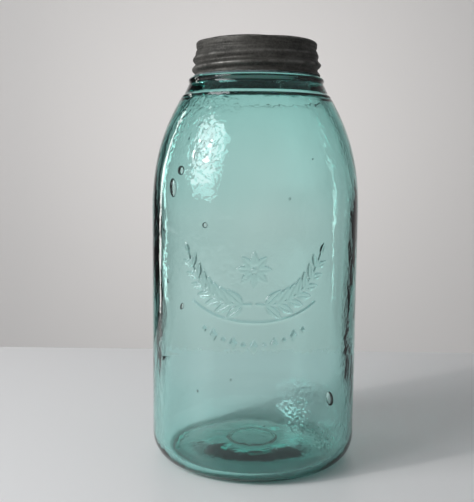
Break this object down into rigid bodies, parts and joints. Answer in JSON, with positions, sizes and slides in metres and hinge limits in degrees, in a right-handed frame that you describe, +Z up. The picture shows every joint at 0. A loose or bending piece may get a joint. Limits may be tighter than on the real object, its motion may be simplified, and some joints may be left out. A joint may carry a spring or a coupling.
{
  "type": "mason jar",
  "caption": "Tall straight-sided aqua glass storage jar with a curved shoulder, a sealing bead and a ribbed dull metal screw cap with a milk-glass liner.",
  "frame": {"origin": "middle of the base, on the plane the jar stands on", "axes": "+Z up along the jar's axis, -Y towards the front, where the jar carries its raised ornament"},
  "size_m": [0.118, 0.118, 0.2371],
  "materials": {
    "aqua_glass": "clear aqua glass, glossy, slightly wavy, with seeds and bubbles",
    "oxidised_zinc": null,
    "opal_glass": "opaque white milk glass, glossy",
    "grey_rubber": "aged grey rubber, matt"
  },
  "bodies": {
    "jar": {"jar_body": "aqua_glass", "rubber_ring": "grey_rubber"},
    "liner": {"opal_liner": "opal_glass"},
    "cap": {"zinc_cap": "oxidised_zinc"}
  },
  "joints": [
    {"name": "cap_lift", "type": "slide", "parent": "jar", "child": "liner", "axis": [0, 0, 1], "range_m": [0, 0.0465]},
    {"name": "cap_turn", "type": "hinge", "parent": "liner", "child": "cap", "pos_m": [0, 0, 0.225], "axis": [0, 0, 1], "range_deg": [0, 2880]}
  ],
  "couplings": [
    {"joint": "cap_lift", "follows": "cap_turn", "m_per_rad": 0.0009231}
  ]
}
